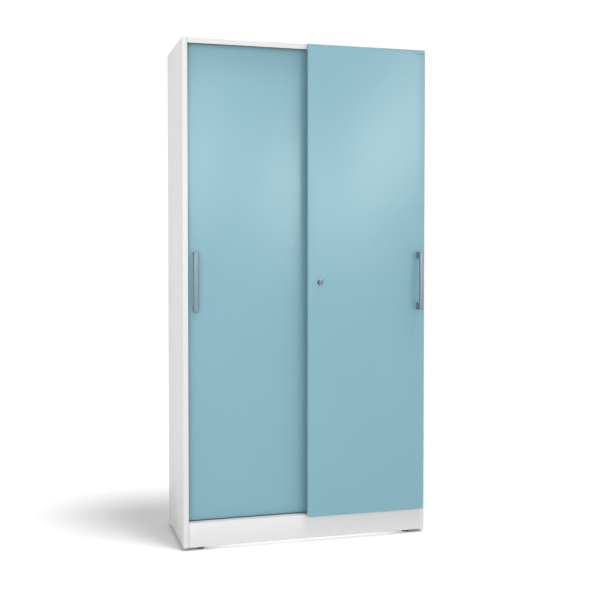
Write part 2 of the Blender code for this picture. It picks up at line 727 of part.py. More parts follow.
def build_plug(at, push):
    """The key plug, with a keyway cut into its face."""
    front, back = BARREL_FRONT + 0.0002, BARREL_FRONT + PLUG_DEPTH - GAP
    axis = axis_empty("lock_turn", at, push)
    profile = [(0.0, back), (PLUG_RADIUS, back), (PLUG_RADIUS, front), (0.0, front)]
    plug = turned_part("lock_plug", profile, CHROME, at, axis, ALONG_Y)
    middle = Vector((LOCK_X, FRONT_FACE + BARREL_FRONT, LOCK_Z))
    half = Vector(KEYWAY) / 2
    boolean(plug, box_cutter("keyway", middle - half, middle + half, axis), "DIFFERENCE")


def build_lock_spring(slide):
    """The coil that pushes the barrel out again when the lock is released."""
    clearance = SPRING_WIRE_RADIUS + 0.0002
    start = FRONT_FACE + BARREL_SHOULDER + clearance
    end = FRONT_FACE + HOUSING_WALL - clearance
    curve = bpy.data.curves.new("lock_spring", "CURVE")
    curve.dimensions = "3D"
    curve.bevel_depth = SPRING_WIRE_RADIUS
    curve.bevel_resolution = 1
    curve.use_fill_caps = True
    spline = curve.splines.new("POLY")
    per_turn = 10
    steps = SPRING_TURNS * per_turn
    spline.points.add(steps)
    for index, point in enumerate(spline.points):
        angle = 2 * math.pi * index / per_turn
        along = (end - start) * index / steps
        point.co = (SPRING_RADIUS * math.cos(angle), along, SPRING_RADIUS * math.sin(angle), 1.0)
    part("lock_spring", curve, ZINC, (LOCK_X, start, LOCK_Z), slide)


def build_keeper(slide):
    """The block on the rear door that the pushed bolt stands beside."""
    wide, deep, tall = KEEPER_SIZE
    high = Vector((LOCK_X - KEEPER_OFFSET, REAR_FACE - GAP, LOCK_Z + tall / 2))
    box("lock_keeper", high - Vector((wide, deep, tall)), high, ZINC, slide)


# ---------------------------------------------------------------- stops

def build_buffer(side, start, end):
    """A rubber plug that a side edge of the rear door runs against."""
    mesh = cylinder_mesh(f"{side}_buffer", BUFFER_RADIUS, end - start, 16)
    at = ((start + end) / 2, REAR_FACE + DOOR_THICKNESS / 2, BUFFER_Z)
    part(f"{side}_buffer", mesh, RUBBER, at, turn=(0.0, math.pi / 2, 0.0))


def build_end_stop(side, start):
    """A block in the top track that a guide of the front door runs against."""
    low = (start, FRONT_FACE + GUIDE_HEAD_FRONT, GUIDE_HEAD_LOW - 0.001)
    back = FRONT_FACE + GUIDE_HEAD_BACK - 0.0005
    high = (start + STOP_LENGTH, back, TOP_UNDERSIDE - SHEET - 2 * GAP)
    box(f"{side}_end_stop", low, high, RUBBER)


def build_stops():
    build_buffer("left", INSIDE, REAR_LEFT - GAP)
    build_buffer("right", REAR_RIGHT + REAR_TRAVEL + GAP, WIDTH - INSIDE)
    reach = GUIDE_WIDTH / 2 + GAP
    build_end_stop("left", FRONT_LEFT + HARDWARE_INSET - FRONT_TRAVEL - reach - STOP_LENGTH)
    build_end_stop("right", FRONT_RIGHT - HARDWARE_INSET + reach)


def build():
    build_sides()
    build_front_sheets()
    build_back_and_deck()
    build_top_track()
    build_base()
    build_shelves()
    front = axis_empty("front_door_slide", (FRONT_LEFT, FRONT_FACE, FRONT_BOTTOM))
    rear = axis_empty("rear_door_slide", (REAR_LEFT, REAR_FACE, REAR_BOTTOM))
    skin, backing = build_door(
        "front_door", FRONT_LEFT, FRONT_RIGHT, FRONT_BOTTOM, FRONT_TOP, FRONT_FACE, front)
    build_door("rear_door", REAR_LEFT, REAR_RIGHT, REAR_BOTTOM, REAR_TOP, REAR_FACE, rear)
    build_handle(
        "front_handle", FRONT_HANDLE_LEFT, FRONT_FACE, FRONT_HANDLE_REACH, FRONT_HANDLE_THICKNESS,
        FRONT_HANDLE_LEG, front)
    build_handle(
        "rear_handle", REAR_HANDLE_LEFT, REAR_FACE, REAR_HANDLE_REACH, REAR_HANDLE_THICKNESS,
        REAR_HANDLE_LEG, rear)
    build_lock(skin, backing, front)
    build_keeper(rear)
    build_stops()


build()
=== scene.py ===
"""Looks for the sliding-door storage cabinet: folded-sheet visual pieces, materials, light and camera.

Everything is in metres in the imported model's frame: the doors face -Y and the floor is z = 0.
"""

import math

import bmesh
import bpy
from mathutils import Matrix, Vector


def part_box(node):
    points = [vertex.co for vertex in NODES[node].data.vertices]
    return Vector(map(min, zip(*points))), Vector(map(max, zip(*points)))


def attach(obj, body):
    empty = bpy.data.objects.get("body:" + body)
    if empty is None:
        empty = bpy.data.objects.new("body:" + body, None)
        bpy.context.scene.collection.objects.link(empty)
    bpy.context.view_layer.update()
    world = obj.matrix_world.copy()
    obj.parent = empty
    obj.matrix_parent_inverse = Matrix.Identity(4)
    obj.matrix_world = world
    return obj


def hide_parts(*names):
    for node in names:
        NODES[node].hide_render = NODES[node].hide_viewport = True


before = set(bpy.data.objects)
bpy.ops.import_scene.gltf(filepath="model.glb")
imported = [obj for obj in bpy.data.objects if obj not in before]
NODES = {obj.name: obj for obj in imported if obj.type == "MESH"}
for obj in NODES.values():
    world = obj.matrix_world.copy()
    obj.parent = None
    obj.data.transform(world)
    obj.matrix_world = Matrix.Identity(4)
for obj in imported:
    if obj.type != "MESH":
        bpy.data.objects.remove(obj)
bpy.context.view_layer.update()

SCENE = bpy.context.scene

# The camera's place, its turn about the vertical and its tilt below the level, in degrees, and its lens.
CAMERA_PLACE = (-1.0786, -3.8944, 1.1729)
CAMERA_YAW = -15.6793
CAMERA_DIP = 1.7879
LENS = 58.566
LENS_SHIFT = -0.035

# Sheet metal: its thickness, its folds' outer radius, the steps in a fold and the bevel of its cut edges.
SHEET = 0.001
FOLD_RADIUS = 0.0020
DOOR_FOLD = 0.0035
ARC_STEPS = 5
BURR = 0.00018

# The stiles' inner edges, measured from the middle, and the depth that is kept clear for each stile.
STILE_INNER = 0.4789
STILE_DEPTH = 0.0123

# The radius of the hole for the lock in the front door's skin.
LOCK_HOLE = 0.0092

UP = (0, 0, 1)
BACK = (0, 1, 0)

# Each side, with the sign of X in the direction from it towards the middle.
SIDES = (("left", 1.0), ("right", -1.0))
DOORS = ("front_door", "rear_door")


# ---------------------------------------------------------------- camera

def make_camera():
    data = bpy.data.cameras.new("camera")
    data.lens = LENS
    data.sensor_width = 36.0
    data.shift_y = LENS_SHIFT
    data.clip_end = 100.0
    camera = bpy.data.objects.new("camera", data)
    SCENE.collection.objects.link(camera)
    camera.location = CAMERA_PLACE
    camera.rotation_euler = (math.radians(90.0 - CAMERA_DIP), 0.0, math.radians(CAMERA_YAW))
    SCENE.camera = camera


# ---------------------------------------------------------------- node helpers

class Shader:
    """A material's node tree, with short calls for the nodes used here."""

    def __init__(self, name):
        self.material = bpy.data.materials.new(name)
        self.material.use_nodes = True
        self.tree = self.material.node_tree
        self.surface = self.tree.nodes["Principled BSDF"]
        self.coordinates = self.node("ShaderNodeTexCoord").outputs["Object"]

    def node(self, kind, **settings):
        made = self.tree.nodes.new(kind)
        for key, value in settings.items():
            setattr(made, key, value)
        return made

    def link(self, source, target):
        self.tree.links.new(source, target)

    def set(self, name, value):
        self.surface.inputs[name].default_value = value

    def drive(self, name, source):
        """Link an output to one of the surface's sockets."""
        self.link(source, self.surface.inputs[name])

    def scaled(self, scale):
        mapping = self.node("ShaderNodeMapping")
        mapping.inputs["Scale"].default_value = scale
        self.link(self.coordinates, mapping.inputs["Vector"])
        return mapping.outputs["Vector"]

    def noise(self, scale, detail, roughness=0.5, stretch=None):
        made = self.node("ShaderNodeTexNoise")
        made.inputs["Scale"].default_value = scale
        made.inputs["Detail"].default_value = detail
        made.inputs["Roughness"].default_value = roughness
        self.link(self.scaled(stretch) if stretch else self.coordinates, made.inputs["Vector"])
        return made.outputs["Fac"]

    def remap(self, value, low, high, start=0.3, end=0.7):
        """Low at the start and high at the end; most of a noise lies between 0.3 and 0.7."""
        made = self.node("ShaderNodeMapRange")
        made.inputs["From Min"].default_value = start
        made.inputs["From Max"].default_value = end
        made.inputs["To Min"].default_value = low
        made.inputs["To Max"].default_value = high
        self.link(value, made.inputs["Value"])
        return made.outputs["Result"]

    def mix(self, factor, first, second):
        """Blend two colours, each given as a tuple or as an output."""
        made = self.node("ShaderNodeMix", data_type="RGBA")
        self.link(factor, made.inputs["Factor"])
        for value, socket in ((first, made.inputs[6]), (second, made.inputs[7])):
            if isinstance(value, tuple):
                socket.default_value = (*value, 1.0)
            else:
                self.link(value, socket)
        return made.outputs[2]

    def product(self, first, second):
        """The first output times the second value, which is a number or an output."""
        made = self.node("ShaderNodeMath", operation="MULTIPLY")
        self.link(first, made.inputs[0])
        if isinstance(second, float):
            made.inputs[1].default_value = second
        else:
            self.link(second, made.inputs[1])
        return made.outputs["Value"]

    def bump(self, height, distance, strength, after=None):
        made = self.node("ShaderNodeBump")
        made.inputs["Strength"].default_value = strength
        made.inputs["Distance"].default_value = distance
        self.link(height, made.inputs["Height"])
        if after is not None:
            self.link(after, made.inputs["Normal"])
        return made.outputs["Normal"]

    def height_fade(self, low, high):
        """1 at the low height, 0 at the high one."""
        split = self.node("ShaderNodeSeparateXYZ")
        self.link(self.coordinates, split.inputs["Vector"])
        return self.remap(split.outputs["Z"], 1.0, 0.0, low, high)


# ---------------------------------------------------------------- materials

def powder_coat(name, colour, shade, dust, roughness):
    """Satin powder coat: fine orange peel over a faint waviness, with a trace of dust near the floor."""
    made = Shader(name)
    cloud = made.noise(scale=2.6, detail=3.0)
    base = made.mix(made.remap(cloud, 0.0, 1.0), colour, shade)
    speckle = made.remap(made.noise(scale=1400.0, detail=1.0), 0.0, 1.0)
    base = made.mix(made.product(speckle, 0.35), base, shade)
    patches = made.remap(made.noise(scale=30.0, detail=4.0), 0.0, 0.45)
    settled = made.product(made.height_fade(low=0.01, high=0.16), patches)
    made.drive("Base Color", made.mix(settled, base, dust))
    smear = made.noise(scale=5.0, detail=4.0, roughness=0.6, stretch=(1.0, 1.0, 0.35))
    made.drive("Roughness", made.remap(smear, roughness - 0.02, roughness + 0.03))
    wave = made.bump(made.noise(scale=2.2, detail=0.0), distance=0.0012, strength=0.2)
    peel = made.bump(made.noise(scale=520.0, detail=1.0), distance=0.00004, strength=0.35, after=wave)
    made.drive("Normal", peel)
    made.set("IOR", 1.48)
    return made.material


def metal(name, colour, shade, roughness, stretch, grain=0.00003, metallic=1.0):
    """Metal, darker and rougher in patches; its grain runs along the axis that stretch scales least."""
    made = Shader(name)
    streaks = made.noise(scale=1.0, detail=4.0, roughness=0.65, stretch=stretch)
    patches = made.noise(scale=28.0, detail=3.0)
    blend = made.product(made.remap(streaks, 0.2, 1.0), made.remap(patches, 0.5, 1.0))
    made.drive("Base Color", made.mix(blend, colour, shade))
    made.drive("Roughness", made.remap(streaks, roughness - 0.06, roughness + 0.08))
    made.drive("Normal", made.bump(streaks, distance=grain, strength=0.6))
    made.set("Metallic", metallic)
    return made.material


def moulded(name, colour, shade, roughness, grain):
    """Moulded plastic or rubber with a fine spark-eroded grain."""
    made = Shader(name)
    clouds = made.remap(made.noise(scale=90.0, detail=3.0), 0.0, 1.0)
    made.drive("Base Color", made.mix(clouds, colour, shade))
    wear = made.noise(scale=140.0, detail=3.0)
    made.drive("Roughness", made.remap(wear, roughness - 0.06, roughness + 0.06))
    made.drive("Normal", made.bump(made.noise(scale=1500.0, detail=2.0), distance=grain, strength=0.5))
    return made.material


PAINT_LIGHT = powder_coat(
    "carcass_powder_coat", colour=(0.590, 0.588, 0.586), shade=(0.578, 0.576, 0.574),
    dust=(0.54, 0.53, 0.515), roughness=0.41)
PAINT_BLUE = powder_coat(
    "door_powder_coat", colour=(0.173, 0.334, 0.394), shade=(0.168, 0.328, 0.388),
    dust=(0.18, 0.33, 0.385), roughness=0.31)
ZINC = metal(
    "zinc_plate", colour=(0.42, 0.43, 0.445), shade=(0.33, 0.34, 0.355), roughness=0.38,
    stretch=(40.0, 40.0, 40.0))
SATIN = metal(
    "satin_handle_metal", colour=(0.185, 0.245, 0.28), shade=(0.155, 0.21, 0.242), roughness=0.42,
    stretch=(2600.0, 2600.0, 18.0), metallic=0.5)
CHROME = metal(
    "lock_chrome", colour=(0.23, 0.235, 0.26), shade=(0.20, 0.205, 0.23), roughness=0.22,
    stretch=(120.0, 120.0, 120.0), grain=0.000005)
NYLON = moulded(
    "natural_nylon", colour=(0.74, 0.73, 0.69), shade=(0.68, 0.67, 0.62), roughness=0.48, grain=0.00002)
BLACK = moulded(
    "black_nylon", colour=(0.022, 0.022, 0.024), shade=(0.030, 0.030, 0.032), roughness=0.48, grain=0.00003)
RUBBER = moulded(
    "grey_rubber", colour=(0.045, 0.045, 0.048), shade=(0.06, 0.06, 0.062), roughness=0.72, grain=0.00004)


# ---------------------------------------------------------------- building helpers

def show(mesh, name, paint):
    made = bpy.data.objects.new(name, mesh)
    SCENE.collection.objects.link(made)
    mesh.materials.clear()
    mesh.materials.append(paint)
    return made


def smooth(made, angle=32.0):
    made.data.shade_smooth()
    made.data.set_sharp_from_angle(angle=math.radians(angle))


def from_bm(bm, name, paint):
    mesh = bpy.data.meshes.new(name)
    bmesh.ops.recalc_face_normals(bm, faces=bm.faces)
    bm.to_mesh(mesh)
    bm.free()
    return show(mesh, name, paint)


def bevel(made, width, segments, angle, clamp=True):
    change = made.modifiers.new("edges", "BEVEL")
    change.width = width
    change.segments = segments
    change.limit_method = "ANGLE"
    change.angle_limit = math.radians(angle)
    change.use_clamp_overlap = clamp


def apply(made):
    """Turn an object's modifiers into plain mesh."""
    graph = bpy.context.evaluated_depsgraph_get()
    mesh = bpy.data.meshes.new_from_object(made.evaluated_get(graph))
    made.modifiers.clear()
    old = made.data
    made.data = mesh
    bpy.data.meshes.remove(old)


def cut(made, tool, operation="DIFFERENCE"):
    """Cut a tool object out of another, or join it on, and remove the tool."""
    change = made.modifiers.new("cut", "BOOLEAN")
    change.operation = operation
    change.object = tool
    apply(made)
    bpy.data.objects.remove(tool, do_unlink=True)


def drawn(points, radius, steps=ARC_STEPS):
    """An open path with each inner corner rounded."""
    made = [Vector(points[0])]
    for before, corner, after in zip(points, points[1:], points[2:]):
        corner = Vector(corner)
        back = (Vector(before) - corner).normalized()
        ahead = (Vector(after) - corner).normalized()
        half = back.angle(ahead) / 2
        centre = corner + (back + ahead).normalized() * (radius / math.sin(half))
        start = corner + back * (radius / math.tan(half)) - centre
        end = corner + ahead * (radius / math.tan(half)) - centre
        sweep = start.angle_signed(end)
        for step in range(steps + 1):
            spoke = start.copy()
            spoke.rotate(Matrix.Rotation(-sweep * step / steps, 2))
            made.append(centre + spoke)
    made.append(Vector(points[-1]))
    return made


def rounded_outline(corners, radii, steps=8):
    """A closed outline with its own radius at each corner."""
    points = []
    count = len(corners)
    for index, radius in enumerate(radii):
        corner = Vector(corners[index])
        if not radius:
            points.append(corner)
            continue
        arc = drawn([corners[index - 1], corner, corners[(index + 1) % count]], radius, steps)
        points += arc[1:-1]
    return points


def rectangle(low, high):
    """A rectangle's corners, from its lowest and highest ones."""
    return [(low[0], low[1]), (high[0], low[1]), (high[0], high[1]), (low[0], high[1])]


def capsule(u, v, half_width, half_height, steps=7):
    """A slot with round ends."""
    straight = half_height - half_width
    points = []
    for end in (1.0, -1.0):
        for step in range(steps + 1):
            angle = math.pi * step / steps
            across = end * half_width * math.cos(angle)
            points.append((u + across, v + end * (straight + half_width * math.sin(angle))))
    return points


def offset_path(path, distance):
    """The path moved to its left."""
    made = []
    for index, point in enumerate(path):
        before = (point - path[index - 1]).normalized() if index else None
        after = (path[index + 1] - point).normalized() if index + 1 < len(path) else None
        along = ((before or after) + (after or before)).normalized()
        left = Vector((-along.y, along.x))
        reference = before or after
        stretch = 1.0 / max(0.2, left.dot(Vector((-reference.y, reference.x))))
        made.append(point + left * distance * stretch)
    return made


# Where a point at u, v on a drawing goes when it is w along the named axis.
AXES = {
    "x": lambda u, v, w: (w, u, v),
    "y": lambda u, v, w: (u, w, v),
    "z": lambda u, v, w: (u, v, w),
}


def sheet(name, points, axis, start, end, paint, radius=FOLD_RADIUS, thickness=SHEET):
    """A folded sheet: the path is its outer face, the metal is on the path's left."""
    outer = drawn(points, radius)
    rows = (outer, offset_path(outer, thickness))
    bm = bmesh.new()
    grid = [[[bm.verts.new(AXES[axis](p.x, p.y, w)) for p in row] for w in (start, end)] for row in rows]
    count = len(outer)
    for i in range(count - 1):
        for row in grid:
            bm.faces.new((row[0][i], row[0][i + 1], row[1][i + 1], row[1][i]))
        for w in (0, 1):
            bm.faces.new((grid[0][w][i], grid[0][w][i + 1], grid[1][w][i + 1], grid[1][w][i]))
    for i in (0, count - 1):
        bm.faces.new((grid[0][0][i], grid[0][1][i], grid[1][1][i], grid[1][0][i]))
    made = from_bm(bm, name, paint)
    bevel(made, BURR, segments=2, angle=55.0)
    return made


def pan(name, low, high, front, back, paint, axis, lip, radius):
    """A pan-shaped sheet with rounded folds: a face, a skirt and, unless the lip is 0, a lip at the back."""
    bm = bmesh.new()
    place = AXES[axis]
    rings = [(0.0, front), (0.0, back)]
    if lip:
        rings.append((lip, back))
    verts = []
    for inset, level in rings:
        corners = rectangle((low[0] + inset, low[1] + inset), (high[0] - inset, high[1] - inset))
        verts.append([bm.verts.new(place(u, v, level)) for u, v in corners])
    bm.faces.new(verts[0])
    for first, second in zip(verts, verts[1:]):
        for index in range(4):
            after = (index + 1) % 4
            bm.faces.new((first[index], first[after], second[after], second[index]))
    made = from_bm(bm, name, paint)
    middle = Vector(place((low[0] + high[0]) / 2, (low[1] + high[1]) / 2, (front + back) / 2))
    face = made.data.polygons[0]
    if face.normal.dot(face.center - middle) < 0:
        made.data.flip_normals()
    bevel(made, radius, segments=4, angle=30.0, clamp=False)
    shell = made.modifiers.new("sheet", "SOLIDIFY")
    shell.thickness = SHEET
    shell.offset = -1.0
    shell.use_even_offset = True
    apply(made)
    return made


def block(low, high, paint, edge=0.0):
    """A box for cutting or joining, with broken edges where it is given an edge."""
    bm = bmesh.new()
    bmesh.ops.create_cube(bm, size=1.0)
    size = Vector(high) - Vector(low)
    bmesh.ops.scale(bm, vec=size, verts=bm.verts)
    bmesh.ops.translate(bm, vec=(Vector(low) + Vector(high)) / 2, verts=bm.verts)
    made = from_bm(bm, "tool", paint)
    if edge:
        bevel(made, edge, segments=2, angle=40.0)
        apply(made)
        smooth(made)
    return made


def prism(name, outline, axis, start, end, paint, edge=BURR):
    """A closed outline run along an axis, with its edges broken."""
    bm = bmesh.new()
    ends = [[bm.verts.new(AXES[axis](u, v, w)) for u, v in outline] for w in (start, end)]
    bm.faces.new(ends[0])
    bm.faces.new(list(reversed(ends[1])))
    for index in range(len(outline)):
        after = (index + 1) % len(outline)
        bm.faces.new((ends[0][index], ends[0][after], ends[1][after], ends[1][index]))
    made = from_bm(bm, name, paint)
    bevel(made, edge, segments=3, angle=40.0)
    return made


def plate(name, node, paint, corner):
    """A flat sheet that faces the front, with rounded corners."""
    low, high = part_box(node)
    outline = rounded_outline(rectangle(low.xz, high.xz), [corner] * 4)
    return prism(name, outline, "y", low.y, high.y, paint)


def turned(name, profile, centre, axis, paint, sides=48, closed=False):
    """A ring or a solid of revolution from (radius, distance along the axis) points."""
    turn = Vector(UP).rotation_difference(Vector(axis)).to_matrix().to_4x4()
    place = Matrix.Translation(centre) @ turn
    bm = bmesh.new()
    rings = []
    for radius, along in profile:
        if not radius:
            rings.append([bm.verts.new(place @ Vector((0.0, 0.0, along)))])
            continue
        ring = []
        for index in range(sides):
            angle = 2 * math.pi * index / sides
            point = Vector((radius * math.cos(angle), radius * math.sin(angle), along))
            ring.append(bm.verts.new(place @ point))
        rings.append(ring)
    pairs = list(zip(rings, rings[1:]))
    if closed:
        pairs.append((rings[-1], rings[0]))
    for first, second in pairs:
        for index in range(sides):
            after = (index + 1) % sides
            corners = [
                first[index % len(first)], first[after % len(first)],
                second[after % len(second)], second[index % len(second)],
            ]
            unique = list(dict.fromkeys(corners))
            if len(unique) > 2:
                bm.faces.new(unique)
    made = from_bm(bm, name, paint)
    smooth(made, 35.0)
    return made


def bore(centre, paint, radius, half_length):
    """A round tool that runs from front to back."""
    profile = [(0.0, -half_length), (radius, -half_length), (radius, half_length), (0.0, half_length)]
    return turned("tool", profile, centre, BACK, paint)


def mirrored(profile):
    """A profile and then its mirror image, so that the two make one ring."""
    return profile + [(radius, -along) for radius, along in reversed(profile)]


def joined(name, pieces):
    """Several separate shells of one material as one object."""
    bm = bmesh.new()
    for piece in pieces:
        bm.from_mesh(piece.data)
    made = from_bm(bm, name, pieces[0].data.materials[0])
    for piece in pieces:
        bpy.data.objects.remove(piece, do_unlink=True)
    smooth(made, 35.0)
    return made


def screw(centre, radius):
    """A pan head that faces the back, with a cross recess; its centre is on the surface under it."""
    dome = [(0.0, 0.60), (0.4, 0.58), (0.72, 0.48), (0.93, 0.30), (1.0, 0.12), (1.0, 0.0), (0.0, 0.0)]
    profile = [(radius * across, radius * along) for across, along in dome]
    head = turned("screw", profile, centre, BACK, ZINC, sides=24)
    length, depth, width = radius * 0.62, radius * 0.3, radius * 0.13
    middle = Vector(centre) + Vector(BACK) * radius * 0.62
    for reach in (Vector((width, depth, length)), Vector((length, depth, width))):
        cut(head, block(middle - reach, middle + reach, ZINC))
    return head


def screw_pair(name, body, middle, spread, radius):
    """Two screws side by side, as one piece."""
    heads = [screw((middle[0] + across, middle[1], middle[2]), radius) for across in (-spread, spread)]
    finish_piece(joined(name, heads), body, "zinc_steel")


def flat_screw(centre, depth):
    """A countersunk head that faces the front, just below the surface, with a cross recess."""
    below = 0.0004
    profile = [(0.0, below), (0.0036, below), (0.0016, depth), (0.0, depth)]
    head = turned("screw", profile, centre, BACK, ZINC, sides=24)
    length, recess, width = 0.0024, 0.0007, 0.0005
    for reach in (Vector((length, recess, width)), Vector((width, recess, length))):
        cut(head, block(Vector(centre) - reach, Vector(centre) + reach + Vector((0, below, 0)), ZINC))
    return head


def rivet(centre):
    """The domed head of a blind rivet that faces the back, with its broken-off stem sunk in the middle."""
    profile = [
        (0.0, 0.0004), (0.0008, 0.0004), (0.0010, 0.0011), (0.0018, 0.0010), (0.0027, 0.0006),
        (0.0031, 0.0001), (0.0031, 0.0), (0.0, 0.0),
    ]
    return turned("rivet", profile, centre, BACK, ZINC, sides=20)


def finish_piece(made, body, slot, *replaced):
    """Hand a piece to the frame: the body it rides on and the nodes that it stands for; the slot argument is
    not used.
    """
    if made.modifiers:
        apply(made)
        smooth(made)
    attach(made, body)
    if replaced:
        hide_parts(*replaced)


# ---------------------------------------------------------------- carcass

def build_side_panels():
    rear_flange, stile_return = 0.015, 0.012
    for side, mirror in SIDES:
        node = f"{side}_side_panel"
        low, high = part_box(node)
        outer, inner = (low.x, high.x) if mirror > 0 else (high.x, low.x)
        path = [
            (outer + mirror * rear_flange, high.y), (outer, high.y), (outer, low.y), (inner, low.y),
            (inner, low.y + stile_return),
        ]
        if mirror < 0:
            path.reverse()
        made = sheet(f"{side}_side", path, "z", low.z, high.z, PAINT_LIGHT)
        finish_piece(made, "carcass", "carcass_paint", node)


def clear_stiles(made, low, high):
    """Notch a sheet's front corners for the side panels' folded stiles."""
    margin, beyond = 0.01, 0.52
    for side in (-1.0, 1.0):
        near, far = sorted((side * STILE_INNER, side * beyond))
        start = (near, low.y - margin, low.z - margin)
        cut(made, block(start, (far, low.y + STILE_DEPTH, high.z), PAINT_LIGHT))


def build_top():
    low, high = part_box("top_panel")
    path = [(high.y, high.z), (low.y, high.z), (low.y, low.z)]
    made = sheet("top_cover", path, "x", low.x, high.x, PAINT_LIGHT)
    apply(made)
    notch_top = high - Vector((0.0, 0.0, 0.0012))
    clear_stiles(made, low, notch_top)
    smooth(made)
    finish_piece(made, "carcass", "carcass_paint", "top_panel")


def build_plinth():
    low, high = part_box("plinth_front")
    path = [(low.y, high.z), (low.y, low.z), (high.y, low.z)]
    made = sheet("plinth", path, "x", -STILE_INNER, STILE_INNER, PAINT_LIGHT, radius=0.0015)
    finish_piece(made, "carcass", "carcass_paint", "plinth_front")


def build_ledge():
    """The ledge over the plinth, with a groove for each door's rollers."""
    low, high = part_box("bottom_track")
    half, depth = 0.005, 0.005
    path = [(high.y, high.z)]
    for prefix in reversed(DOORS):
        roller_low, roller_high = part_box(f"{prefix}_left_roller")
        middle = (roller_low.y + roller_high.y) / 2
        path += [
            (middle + half, high.z), (middle + half, high.z - depth), (middle - half, high.z - depth),
            (middle - half, high.z),
        ]
    path.append((low.y, high.z))
    made = sheet("roller_ledge", path, "x", low.x, high.x, PAINT_LIGHT, radius=0.0014)
    apply(made)
    above = high + Vector((0.0, 0.0, 0.01))
    clear_stiles(made, low, above)
    smooth(made)
    finish_piece(made, "carcass", "carcass_paint", "bottom_track")


def build_deck():
    low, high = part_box("base_panel")
    made = pan("deck", low.xy, high.xy, high.z, low.z, PAINT_LIGHT, "z", lip=0.0, radius=0.0016)
    smooth(made)
    finish_piece(made, "carcass", "carcass_paint", "base_panel")


def build_back():
    """The back sheet, and the rivets along the side panels' rear flanges that hold it."""
    made = plate("back_sheet", "back_panel", PAINT_LIGHT, corner=0.006)
    finish_piece(made, "carcass", "carcass_paint", "back_panel")
    count, from_end, from_middle = 9, 0.06, 0.4925
    for side, mirror in SIDES:
        low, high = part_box(f"{side}_side_panel")
        first, step = low.z + from_end, (high.z - low.z - 2 * from_end) / (count - 1)
        heads = [rivet((-mirror * from_middle, high.y, first + index * step)) for index in range(count)]
        finish_piece(joined(f"{side}_back_rivets", heads), "carcass", "zinc_steel")


def build_shelves():
    for index in range(1, 5):
        node = f"shelf_{index}"
        low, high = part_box(node)
        made = pan(
            f"shelf_board_{index}", low.xy, high.xy, high.z, low.z, PAINT_LIGHT, "z",
            lip=0.012, radius=0.0018)
        smooth(made)
        finish_piece(made, "carcass", "carcass_paint", node)


def build_uprights():
    """Channels on the side panels, with a row of slots for the shelf supports' hooks."""
    slot_pitch, hook_drop, clear_top = 0.075, 0.010, 0.045
    half_width, half_height, reach = 0.002, 0.007, 0.004
    support_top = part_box("shelf_1_left_support")[1].z
    for end in ("front", "rear"):
        for side, mirror in SIDES:
            node = f"{end}_{side}_upright"
            low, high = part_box(node)
            wall, face = (low.x, high.x) if mirror > 0 else (high.x, low.x)
            path = [(wall, low.y), (face, low.y), (face, high.y), (wall, high.y)]
            if mirror < 0:
                path.reverse()
            made = sheet(f"{node}_channel", path, "z", low.z, high.z, PAINT_LIGHT, radius=0.0018)
            apply(made)
            middle = (low.y + high.y) / 2
            slots = []
            z = support_top - hook_drop - 4 * slot_pitch
            while z < high.z - clear_top:
                outline = capsule(middle, z, half_width, half_height)
                slots.append(prism("slot", outline, "x", face - reach, face + reach, PAINT_LIGHT, edge=0))
                z += slot_pitch
            cut(made, joined("slots", slots))
            smooth(made)
            finish_piece(made, "carcass", "carcass_paint", node)


def build_supports():
    """Angles that hook into the uprights and carry the shelves."""
    hook_top, hook_bottom, hook_reach, half_hook = 0.005, 0.015, 0.0038, 0.0015
    for index in range(1, 5):
        for side, mirror in SIDES:
            node = f"shelf_{index}_{side}_support"
            low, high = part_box(node)
            web = low.x + hook_reach if mirror > 0 else high.x - hook_reach
            tip = high.x if mirror > 0 else low.x
            path = [(tip, high.z), (web, high.z), (web, low.z)]
            if mirror < 0:
                path.reverse()
            made = sheet(f"{node}_angle", path, "y", low.y, high.y, ZINC, radius=0.0018)
            apply(made)
            near, far = sorted((web - mirror * hook_reach, web + mirror * SHEET / 2))
            for end in ("front", "rear"):
                upright_low, upright_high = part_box(f"{end}_{side}_upright")
                middle = (upright_low.y + upright_high.y) / 2
                start = (near, middle - half_hook, high.z - hook_bottom)
                hook = block(start, (far, middle + half_hook, high.z - hook_top), ZINC, edge=0.0006)
                cut(made, hook, "UNION")
            smooth(made)
            finish_piece(made, "carcass", "zinc_steel", node)


# ---------------------------------------------------------------- doors

def cut_front_door(skin, backing, low, high):
    """The holes for the lock, and the open seam in the skin's folded top right corner."""
    barrel_low, barrel_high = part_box("lock_barrel")
    centre = (barrel_low + barrel_high) / 2
    cut(skin, bore((centre.x, low.y, centre.z), PAINT_BLUE, radius=LOCK_HOLE, half_length=0.004))
    seam_start, seam_end, seam_bottom, seam_top, seam_depth = 0.044, 0.0035, 0.0170, 0.0156, 0.0013
    start = (high.x - seam_start, low.y - 0.001, high.z - seam_bottom)
    cut(skin, block(start, (high.x - seam_end, low.y + seam_depth, high.z - seam_top), PAINT_BLUE))
    apply(backing)
    cut(backing, bore((centre.x, high.y, centre.z), PAINT_BLUE, radius=0.0056, half_length=0.006))
    smooth(backing)


def build_door(prefix):
    """A folded pan for the skin, closed by an inner sheet."""
    node = f"{prefix}_skin"
    low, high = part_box(node)
    skin = pan(
        f"{prefix}_panel", low.xz, high.xz, low.y, high.y, PAINT_BLUE, "y", lip=0.014, radius=DOOR_FOLD)
    backing = plate(f"{prefix}_inner_sheet", f"{prefix}_backing", PAINT_BLUE, corner=0.003)
    if prefix == "front_door":
        cut_front_door(skin, backing, low, high)
    smooth(skin)
    finish_piece(skin, prefix, "door_paint", node)
    finish_piece(backing, prefix, "door_paint", f"{prefix}_backing")


